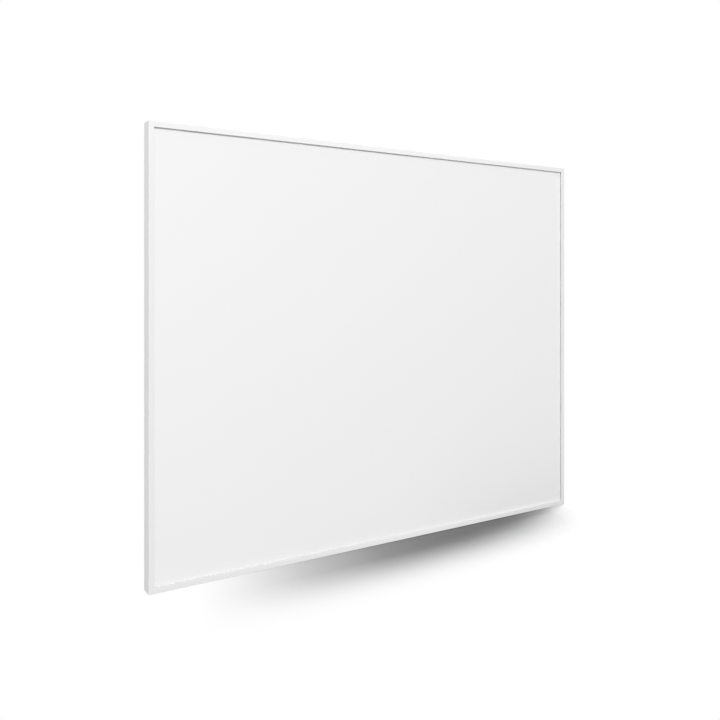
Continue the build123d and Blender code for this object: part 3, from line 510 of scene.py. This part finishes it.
class HEATER_OT_front(bpy.types.Operator):
    """Coats the frame and the front plate, and colours the seal between them"""

    bl_idname = "heater.front"
    bl_label = "Frame and Front Plate"

    def execute(self, context):
        finish = context.scene.heater_finish
        # The frame coat's greyer white is painted shade on the lips.
        frame_coat = powder_coat("satin powder coat on aluminium", finish.frame_colour_with_painted_shade, finish)
        assign(frame_coat, *FRAME_LENGTHS)
        plate_coat = powder_coat("satin powder coat on steel", finish.plate_colour, finish)
        assign(plate_coat, "radiant_plate")
        # Closed-cell silicone foam: matt, with small cells along its cut edge. Its grey is painted shade in
        # the recess between the lip and the front plate.
        foam, tree, shader, place = start_material("silicone foam tape", finish.seal_colour_with_painted_shade, 0.85, IOR=1.41)
        cells = add_node(tree, "ShaderNodeTexVoronoi", {"Vector": place, "Scale": 1 / (0.5 * MM)})
        pits = add_node(
            tree,
            "ShaderNodeBump",
            {"Strength": 0.4, "Distance": 0.1 * MM, "Height": cells.outputs["Distance"]},
        )
        tree.links.new(pits.outputs[0], shader.inputs["Normal"])
        assign(foam, "plate_seal")
        return {"FINISHED"}


class HEATER_OT_element(bpy.types.Operator):
    """Finishes the layers between the front plate and the back plate, and the frame's corner keys"""

    bl_idname = "heater.element"
    bl_label = "Heating Element"

    def execute(self, context):
        inside = context.scene.heater_inside
        # Slices of an extruded angle: a soft grey shine with fine lines through the slice's thickness.
        keys = grained(
            "extruded aluminium",
            inside.aluminium_colour,
            roughness=0.38,
            grain=0.6 * MM,
            depth=0.01 * MM,
            metallic=1.0,
            drawn=(1, 0.05, 1),
        )[0]
        assign(keys, "corner_keys")
        # Polyimide film: clear amber, with the slight haze of a laminated sheet.
        film = grained(
            "polyimide film",
            inside.film_colour,
            roughness=0.22,
            grain=2 * MM,
            depth=0.005 * MM,
            IOR=1.70,
            Transmission_Weight=0.3,
        )[0]
        assign(film, "front_film", "rear_film")
        # Rolled copper: faint lines along the rolling direction, which is the bar's length.
        copper = grained(
            "rolled copper foil",
            inside.copper_colour,
            roughness=0.30,
            grain=0.5 * MM,
            depth=0.005 * MM,
            metallic=1.0,
            drawn=(1, 1, 0.04),
        )[0]
        assign(copper, "bus_bars")
        # Solder that has set: dull, with a slightly lumpy skin.
        solder = grained(
            "lead-free solder",
            inside.solder_colour,
            roughness=0.42,
            grain=1.2 * MM,
            depth=0.08 * MM,
            metallic=1.0,
        )[0]
        assign(solder, "solder_joints")
        # Household foil: very bright, with soft creases from being laid by hand.
        foil = grained(
            "rolled aluminium foil",
            inside.foil_colour,
            roughness=0.20,
            grain=18 * MM,
            depth=0.4 * MM,
            metallic=1.0,
        )[0]
        assign(foil, "reflector_foil")

        # Carbon ink, screen printed: matt black that keeps the mesh of the screen. A real mesh is
        # finer, and this one is as coarse as it needs to be to show.
        ink, tree, shader, place = start_material("printed carbon ink", inside.ink_colour, 0.80, IOR=1.50)
        from_thread_to_thread = 0.4 * MM
        across, along = (
            add_node(
                tree,
                "ShaderNodeTexWave",
                {"Vector": place, "Scale": WAVE_REPEAT / from_thread_to_thread},
                bands_direction=direction,
            )
            for direction in ("X", "Z")
        )
        mesh = add_node(
            tree, "ShaderNodeMath", {0: across.outputs["Fac"], 1: along.outputs["Fac"]}, operation="ADD"
        )
        print_bump = add_node(
            tree, "ShaderNodeBump", {"Strength": 0.4, "Distance": 0.01 * MM, "Height": mesh.outputs[0]}
        )
        tree.links.new(print_bump.outputs[0], shader.inputs["Normal"])
        assign(ink, "carbon_strips")

        # Pressed mineral wool: matt, with pale and dark fibres that lie in the board's plane.
        drawn_out = 0.12
        board, tree, shader, place = grained(
            "pressed mineral wool",
            inside.board_colour,
            roughness=0.92,
            grain=1.2 * MM,
            depth=0.3 * MM,
            drawn=(drawn_out, 1, 1),
            IOR=1.45,
        )
        crossed = add_node(tree, "ShaderNodeMapping", {"Vector": place, "Scale": (1, 1, drawn_out)})
        fibres = add_node(
            tree, "ShaderNodeTexNoise", {"Vector": crossed.outputs[0], "Scale": 1 / (1.5 * MM), "Detail": 4.0}
        )
        tone = add_node(
            tree,
            "ShaderNodeMix",
            {
                "Factor": fibres.outputs[0],
                "A": shade_of(inside.board_colour, 0.72),
                "B": shade_of(inside.board_colour, 1.15),
            },
            data_type="RGBA",
        )
        tree.links.new(tone.outputs["Result"], shader.inputs["Base Color"])
        assign(board, "insulation_board")
        return {"FINISHED"}


class HEATER_OT_back(bpy.types.Operator):
    """Finishes the back plate, its hanger brackets and the buttons on the wall"""

    bl_idname = "heater.back"
    bl_label = "Back Plate and Brackets"

    def execute(self, context):
        finish = context.scene.heater_finish
        # Hot-dip zinc sets in crystals a centimetre across, each with its own tone and gloss.
        sheet, tree, shader, place = start_material(
            "hot-dip galvanised sheet", finish.sheet_colour, 0.42, metallic=1.0
        )
        ragged = add_node(
            tree, "ShaderNodeTexNoise", {"Vector": place, "Scale": 1 / (6 * MM), "Detail": 4.0}
        )
        edges = add_node(
            tree,
            "ShaderNodeVectorMath",
            {0: ragged.outputs["Color"], 1: (7 * MM, 0.0, 7 * MM), 2: place},
            operation="MULTIPLY_ADD",
        )
        crystals = add_node(
            tree, "ShaderNodeTexVoronoi", {"Vector": edges.outputs[0], "Scale": 1 / finish.spangle}
        )
        tone = add_node(tree, "ShaderNodeSeparateXYZ", {"Vector": crystals.outputs["Color"]}).outputs
        # Each crystal is feathered by fine needles.
        needles = add_node(
            tree, "ShaderNodeTexNoise", {"Vector": place, "Scale": 1 / (0.8 * MM), "Detail": 2.0}
        )
        shade = add_node(
            tree, "ShaderNodeMath", {0: needles.outputs[0], 1: 0.35, 2: tone["X"]}, operation="MULTIPLY_ADD"
        )
        zinc = add_node(
            tree,
            "ShaderNodeMix",
            {
                "Factor": shade.outputs[0],
                "A": shade_of(finish.sheet_colour, 0.80),
                "B": shade_of(finish.sheet_colour, 1.12),
            },
            data_type="RGBA",
        )
        gloss = add_node(
            tree, "ShaderNodeMapRange", {"Value": tone["Y"], "To Min": 0.34, "To Max": 0.52}
        )
        relief = add_node(
            tree, "ShaderNodeBump", {"Strength": 0.3, "Distance": 0.03 * MM, "Height": shade.outputs[0]}
        )
        tree.links.new(zinc.outputs["Result"], shader.inputs["Base Color"])
        tree.links.new(gloss.outputs[0], shader.inputs["Roughness"])
        tree.links.new(relief.outputs[0], shader.inputs["Normal"])
        assign(sheet, "back_plate")
        assign(zinc_plating(finish), *(corner + "_bracket" for corner in CORNERS))

        # Turned steel: rings round the button's own axis, where the tool ran.
        for corner in CORNERS:
            name = corner + "_wall_button"
            low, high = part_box(name)
            middle = ((low[0] + high[0]) / 2, 0, (low[2] + high[2]) / 2)
            steel, tree, shader, place = grained(
                "turned steel, " + corner.replace("_", " "),
                finish.turned_colour,
                roughness=0.30,
                grain=3 * MM,
                depth=0.005 * MM,
                metallic=1.0,
            )
            centred = add_node(
                tree, "ShaderNodeVectorMath", {0: place, 1: middle}, operation="SUBTRACT"
            )
            along = add_node(tree, "ShaderNodeSeparateXYZ", {"Vector": centred.outputs[0]}).outputs["Y"]
            across = add_node(
                tree, "ShaderNodeVectorMath", {0: centred.outputs[0], 1: (1, 0, 1)}, operation="MULTIPLY"
            )
            out = add_node(tree, "ShaderNodeVectorMath", {0: across.outputs[0]}, operation="LENGTH")
            # The tool runs out over a face and along a neck, so both distances count.
            run = add_node(
                tree, "ShaderNodeMath", {0: out.outputs["Value"], 1: along}, operation="ADD"
            )
            rings = add_node(
                tree,
                "ShaderNodeTexNoise",
                {"W": run.outputs[0], "Scale": 1 / finish.turning_feed, "Detail": 2.0},
                noise_dimensions="1D",
            )
            tone = add_node(
                tree,
                "ShaderNodeMix",
                {
                    "Factor": rings.outputs[0],
                    "A": shade_of(finish.turned_colour, 0.68),
                    "B": shade_of(finish.turned_colour, 1.15),
                },
                data_type="RGBA",
            )
            groove = add_node(
                tree, "ShaderNodeBump", {"Strength": 0.8, "Distance": 0.06 * MM, "Height": rings.outputs[0]}
            )
            tree.links.new(tone.outputs["Result"], shader.inputs["Base Color"])
            tree.links.new(groove.outputs[0], shader.inputs["Normal"])
            assign(steel, name)
        return {"FINISHED"}


class HEATER_OT_terminal_box(bpy.types.Operator):
    """Finishes the terminal box, its lid, its gasket and the cable gland"""

    bl_idname = "heater.terminal_box"
    bl_label = "Terminal Box and Gland"

    def execute(self, context):
        finish = context.scene.heater_finish
        inside = context.scene.heater_inside
        # Glass-filled polyester, moulded in a spark-eroded tool: near black, evenly pitted and matt.
        box = grained(
            "moulded polyester",
            finish.box_colour,
            roughness=0.55,
            grain=finish.mould_grain,
            depth=0.25 * MM,
            spread=0.06,
            IOR=1.55,
        )[0]
        assign(box, "terminal_box_base", "terminal_box_lid")
        # Polyamide from a polished tool: smoother and a little waxy.
        gland = grained(
            "moulded polyamide",
            finish.gland_colour,
            roughness=0.36,
            grain=1.5 * MM,
            depth=0.06 * MM,
            IOR=1.53,
        )[0]
        assign(gland, "gland_body", "gland_locknut", "gland_nut")
        # Chloroprene rubber: quite matt, with a dusty bloom.
        rubber = grained(
            "chloroprene rubber",
            finish.rubber_colour,
            roughness=0.78,
            grain=2 * MM,
            depth=0.02 * MM,
            spread=0.08,
            IOR=1.55,
        )[0]
        assign(rubber, "lid_gasket", "gland_seal", "lead_grommet")
        # Blind rivets: tumbled aluminium, with a soft sheen.
        rivets = grained(
            "tumbled aluminium",
            inside.aluminium_colour,
            roughness=0.42,
            grain=0.8 * MM,
            depth=0.02 * MM,
            metallic=1.0,
        )[0]
        assign(rivets, "box_rivets")
        return {"FINISHED"}


class HEATER_OT_wiring(bpy.types.Operator):
    """Finishes the terminal block, the cut-out, the earth point and the leads"""

    bl_idname = "heater.wiring"
    bl_label = "Wiring"

    def execute(self, context):
        finish = context.scene.heater_finish
        inside = context.scene.heater_inside
        assign(zinc_plating(finish), "earth_stud", "earth_nuts", "terminal_screws", "block_screws")
        # Turned and stamped brass, bare: warm yellow with a light tarnish.
        brass = grained(
            "bare brass",
            inside.brass_colour,
            roughness=0.30,
            grain=2 * MM,
            depth=0.01 * MM,
            metallic=1.0,
            spread=0.08,
        )[0]
        assign(brass, "terminal_inserts", "earth_lug", "cutout_tabs")
        # Deep-drawn aluminium: brighter than the rivets, with lines up the wall of the cap.
        cap = grained(
            "deep-drawn aluminium",
            inside.aluminium_colour,
            roughness=0.28,
            grain=0.6 * MM,
            depth=0.01 * MM,
            metallic=1.0,
            drawn=(1, 0.06, 1),
        )[0]
        assign(cap, "cutout_cap")
        # Phenolic moulding: dark brown, glossy from the tool, with a faint mottle of its wood flour.
        phenolic = grained(
            "phenolic moulding",
            inside.phenolic_colour,
            roughness=0.34,
            grain=0.9 * MM,
            depth=0.01 * MM,
            IOR=1.60,
        )[0]
        assign(phenolic, "cutout_body")

        # Steatite, pressed and fired without glaze: warm white, dry, with tiny dark grains.
        steatite, tree, shader, place = grained(
            "unglazed steatite",
            inside.steatite_colour,
            roughness=0.62,
            grain=0.7 * MM,
            depth=0.03 * MM,
            IOR=1.58,
        )
        grains = add_node(tree, "ShaderNodeTexVoronoi", {"Vector": place, "Scale": 1 / (1.6 * MM)})
        speck = add_node(
            tree,
            "ShaderNodeMapRange",
            {"Value": grains.outputs["Distance"], "From Min": 0.06, "From Max": 0.16},
        )
        clay = add_node(
            tree,
            "ShaderNodeMix",
            {
                "Factor": speck.outputs[0],
                "A": shade_of(inside.steatite_colour, 0.60),
                "B": (*inside.steatite_colour, 1),
            },
            data_type="RGBA",
        )
        tree.links.new(clay.outputs["Result"], shader.inputs["Base Color"])
        assign(steatite, "terminal_block")

        # Silicone insulation: an even colour, matt and slightly powdery from its talc.
        silicone = {"roughness": 0.60, "grain": 1.2 * MM, "depth": 0.01 * MM, "spread": 0.08, "IOR": 1.43}
        live = grained("brown silicone", inside.live_colour, **silicone)[0]
        assign(live, "live_lead", "link_lead")
        neutral = grained("blue silicone", inside.neutral_colour, **silicone)[0]
        assign(neutral, "neutral_lead")
        # The earth lead's two colours wind round it, half each. Along one axis, a diagonal wave is
        # twice as long as a straight one.
        earth, tree, shader, place = grained("green and yellow silicone", inside.earth_green, **silicone)
        from_turn_to_turn = 24 * MM
        winding = add_node(
            tree,
            "ShaderNodeTexWave",
            {"Vector": place, "Scale": 2 * WAVE_REPEAT / from_turn_to_turn},
            bands_direction="DIAGONAL",
        )
        on_yellow = add_node(
            tree, "ShaderNodeMath", {0: winding.outputs["Fac"], 1: 0.5}, operation="GREATER_THAN"
        )
        stripes = add_node(
            tree,
            "ShaderNodeMix",
            {"Factor": on_yellow.outputs[0], "A": (*inside.earth_green, 1), "B": (*inside.earth_yellow, 1)},
            data_type="RGBA",
        )
        tree.links.new(stripes.outputs["Result"], shader.inputs["Base Color"])
        assign(earth, "earth_lead")
        return {"FINISHED"}


class HEATER_OT_screws(bpy.types.Operator):
    """Makes the cross-recess screws of the frame, the brackets and the terminal box"""

    bl_idname = "heater.screws"
    bl_label = "Screws"

    def execute(self, context):
        finish = context.scene.heater_finish
        sizes = context.scene.heater_screws
        pan_heads = screw_tree("pan head screws", countersunk=False)
        flat_heads = screw_tree("countersunk screws", countersunk=True)
        for name in ("back_plate_screws", "bracket_screws", "lid_screws"):
            countersunk = name == "lid_screws"
            tree = flat_heads if countersunk else pan_heads
            boxes = solids(name)
            head_radius = sizes.lid_head_radius if countersunk else sizes.frame_head_radius
            shank_radius = sizes.lid_shank_radius if countersunk else sizes.frame_shank_radius
            head_height = head_radius - shank_radius if countersunk else sizes.frame_head_height
            above_seat = 0.0 if countersunk else head_height
            whole = boxes[0][1].y - boxes[0][0].y
            seats = [
                ((low.x + high.x) / 2, high.y - above_seat, (low.z + high.z) / 2) for low, high in boxes
            ]
            values = {
                "Head Radius": head_radius,
                "Head Height": head_height,
                "Shank Radius": shank_radius,
                "Shank Length": whole - head_height,
                "Recess Length": 2 * head_radius * sizes.recess_share,
                "Recess Width": sizes.recess_width,
                "Recess Depth": sizes.recess_depth,
                "Seed": sizes.seed,
                "Material": zinc_plating(finish),
            }
            screws = plain_mesh("detailed_" + name, seats, tree, values)
            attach(screws, "heater")
            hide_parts(name)
        return {"FINISHED"}


class HEATER_OT_stage(bpy.types.Operator):
    """Sets up the white floor, the room light, the lamps and the camera"""

    bl_idname = "heater.stage"
    bl_label = "Studio"

    def execute(self, context):
        studio = context.scene.heater_studio
        scene = context.scene
        floor_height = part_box("bottom_rail")[0].z - studio.floor_gap

        # Floor. What the camera sees of it is plain white, with the shadow along the heater's right part.
        floor_reach = 8.0
        mesh = bpy.data.meshes.new("floor")
        outline = [
            (x * floor_reach, y * floor_reach, floor_height) for x, y in ((-1, -1), (1, -1), (1, 1), (-1, 1))
        ]
        mesh.from_pydata(outline, [], [(0, 1, 2, 3)])
        floor = bpy.data.objects.new("floor", mesh)
        scene.collection.objects.link(floor)
        material = bpy.data.materials.new("white studio floor")
        material.use_nodes = True
        tree = material.node_tree
        tree.nodes.clear()
        seen = background_rays(tree)
        place = add_node(tree, "ShaderNodeTexCoord").outputs["Object"]
        axes = add_node(tree, "ShaderNodeSeparateXYZ", {"Vector": place}).outputs
        # How much of the shadow shows along the heater: it fades in from the left and out at the right.
        # Each stop gives X and the share of the shadow there.
        stops = (
            (-0.294, 0.0),
            (-0.251, 0.12),
            (-0.192, 0.33),
            (-0.130, 0.56),
            (-0.063, 0.74),
            (-0.004, 0.88),
            (0.136, 1.0),
            (0.226, 1.0),
            (0.306, 0.87),
            (0.361, 0.45),
            (0.416, 0.0),
        )
        first, last = stops[0][0], stops[-1][0]
        slanted = add_node(
            tree,
            "ShaderNodeMath",
            {0: axes["Y"], 1: studio.shadow_slant, 2: axes["X"]},
            operation="MULTIPLY_ADD",
        )
        span = add_node(
            tree, "ShaderNodeMapRange", {"Value": slanted.outputs[0], "From Min": first, "From Max": last}
        )
        fade = add_node(tree, "ShaderNodeFloatCurve", {"Value": span.outputs[0]})
        curve = fade.mapping.curves[0].points
        for x, value in stops[1:-1]:
            curve.new((x - first) / (last - first), value)
        curve[-1].location = (1, 0)
        fade.mapping.update()
        # It fades out in front of the heater and behind it.
        off_wall = add_node(tree, "ShaderNodeMath", {0: axes["Y"]}, operation="ABSOLUTE")
        near = add_node(
            tree,
            "ShaderNodeMapRange",
            {"Value": off_wall.outputs[0], "From Min": studio.shadow_depth, "From Max": studio.shadow_core},
            interpolation_type="SMOOTHSTEP",
        )
        shaded = add_node(
            tree, "ShaderNodeMath", {0: fade.outputs[0], 1: near.outputs[0]}, operation="MULTIPLY"
        )
        white = add_node(tree, "ShaderNodeEmission", {"Color": (1, 1, 1, 1), "Strength": 1.0})
        grey = (studio.floor_grey, studio.floor_grey, studio.floor_grey, 1)
        lit = add_node(tree, "ShaderNodeBsdfDiffuse", {"Color": grey})
        # Below the right end of the heater, where the shadow is deepest, the floor gives less light back.
        middle, right_end = 0.0, 0.32
        deepest = add_node(
            tree,
            "ShaderNodeMapRange",
            {"Value": axes["X"], "From Min": middle, "From Max": right_end},
            interpolation_type="SMOOTHSTEP",
        )
        dimmed = add_node(
            tree, "ShaderNodeMath", {0: deepest.outputs[0], 1: near.outputs[0]}, operation="MULTIPLY"
        )
        given_back = add_node(
            tree,
            "ShaderNodeMapRange",
            {"Value": dimmed.outputs[0], "To Min": studio.floor_bounce, "To Max": studio.dimmed_bounce},
        )
        bounce = add_node(
            tree, "ShaderNodeEmission", {"Color": (1, 1, 1, 1), "Strength": given_back.outputs[0]}
        )
        shown = add_node(
            tree, "ShaderNodeMixShader", {0: shaded.outputs[0], 1: white.outputs[0], 2: lit.outputs[0]}
        )
        surface = add_node(
            tree, "ShaderNodeMixShader", {0: seen, 1: bounce.outputs[0], 2: shown.outputs[0]}
        )
        add_node(tree, "ShaderNodeOutputMaterial", {"Surface": surface.outputs[0]})
        mesh.materials.append(material)

        # Room: white where it is seen or mirrored, and a softer light on what is matt.
        world = bpy.data.worlds.new("white room")
        scene.world = world
        world.use_nodes = True
        tree = world.node_tree
        tree.nodes.clear()
        seen = background_rays(tree)
        direction = add_node(tree, "ShaderNodeTexCoord").outputs["Generated"]
        height = add_node(tree, "ShaderNodeSeparateXYZ", {"Vector": direction}).outputs["Z"]
        level = add_node(
            tree,
            "ShaderNodeMapRange",
            {"Value": height, "To Min": studio.room_light, "To Max": studio.ceiling_light},
        )
        room = add_node(
            tree, "ShaderNodeBackground", {"Color": (1, 1, 1, 1), "Strength": level.outputs[0]}
        )
        backdrop = add_node(tree, "ShaderNodeBackground", {"Color": (1, 1, 1, 1), "Strength": 1.0})
        mixed = add_node(
            tree, "ShaderNodeMixShader", {0: seen, 1: room.outputs[0], 2: backdrop.outputs[0]}
        )
        add_node(tree, "ShaderNodeOutputWorld", {"Surface": mixed.outputs[0]})

        # Lamps.
        floor_only = bpy.data.collections.new("floor only")
        floor_only.objects.link(floor)
        not_plates = bpy.data.collections.new("all but the plates and the floor")
        for i, left_out in enumerate((nodes["radiant_plate"], nodes["back_plate"], floor)):
            not_plates.objects.link(left_out)
            not_plates.collection_objects[i].light_linking.link_state = "EXCLUDE"
        frame_only = bpy.data.collections.new("frame only")
        for name in FRAME_LENGTHS:
            frame_only.objects.link(nodes[name])
        # Each lamp's name, place, aim, width and height, power, and what it lights if not everything.
        lamps = (
            ("key", (-1.2, -5.0, 2.1), (-0.05, -0.04, 0.0), (1.6, 1.6), studio.key_light, None),
            ("top", (-0.05, -0.20, 0.44), (-0.05, -0.04, 0.29), (0.7, 0.05), studio.top_light, frame_only),
            ("low", (0.16, -0.18, -0.235), (0.16, -0.04, -0.29), (0.4, 0.04), studio.low_light, frame_only),
            ("side", (-2.3, 0.1, 0.6), (-0.375, -0.03, 0.0), (1.0, 1.0), studio.side_light, not_plates),
            ("floor", (0.915, 0.24, 1.73), (0.915, 0.24, 0.0), (1.66, 0.33), studio.floor_light, floor_only),
        )
        for name, place, aim, size, power, receivers in lamps:
            lamp = bpy.data.lights.new(name + " lamp", "AREA")
            lamp.shape = "RECTANGLE"
            lamp.size, lamp.size_y = size
            lamp.energy = power
            holder = bpy.data.objects.new(name + " lamp", lamp)
            holder.location = place
            holder.rotation_euler = (Vector(aim) - Vector(place)).to_track_quat("-Z", "Y").to_euler()
            scene.collection.objects.link(holder)
            if receivers:
                holder.light_linking.receiver_collection = receivers

        camera = bpy.data.objects.new("camera", bpy.data.cameras.new("camera"))
        camera.location = studio.camera_place
        camera.rotation_euler = (math.pi / 2, 0, studio.camera_turn)
        camera.data.lens = studio.lens
        camera.data.sensor_width = 36.0
        camera.data.shift_y = studio.shift
        scene.collection.objects.link(camera)
        scene.camera = camera
        scene.view_settings.view_transform = "Standard"
        return {"FINISHED"}


class HEATER_PT_panel(bpy.types.Panel):
    """Lists the steps that dress the heater."""

    bl_idname = "HEATER_PT_panel"
    bl_label = "Infrared Panel Heater"
    bl_space_type = "VIEW_3D"
    bl_region_type = "UI"
    bl_category = "Heater"

    def draw(self, context):
        for settings in groups:
            group = getattr(context.scene, settings)
            box = self.layout.box()
            for name in group.bl_rna.properties.keys():
                if name not in ("rna_type", "name"):
                    box.prop(group, name)
        for operator in operators:
            self.layout.operator(operator.bl_idname)


operators = (
    HEATER_OT_front,
    HEATER_OT_element,
    HEATER_OT_back,
    HEATER_OT_terminal_box,
    HEATER_OT_wiring,
    HEATER_OT_screws,
    HEATER_OT_stage,
)
groups = {
    "heater_finish": HeaterFinish,
    "heater_inside": HeaterInside,
    "heater_screws": HeaterScrews,
    "heater_studio": HeaterStudio,
}


def register():
    for group in (*groups.values(), *operators, HEATER_PT_panel):
        bpy.utils.register_class(group)
    for name, group in groups.items():
        setattr(bpy.types.Scene, name, bpy.props.PointerProperty(type=group))


def unregister():
    for name in groups:
        delattr(bpy.types.Scene, name)
    for group in reversed((*groups.values(), *operators, HEATER_PT_panel)):
        bpy.utils.unregister_class(group)


def main():
    """Registers the classes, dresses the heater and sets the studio."""
    register()
    bpy.ops.heater.front()
    bpy.ops.heater.element()
    bpy.ops.heater.back()
    bpy.ops.heater.terminal_box()
    bpy.ops.heater.wiring()
    bpy.ops.heater.screws()
    bpy.ops.heater.stage()


if __name__ == "__main__":
    main()
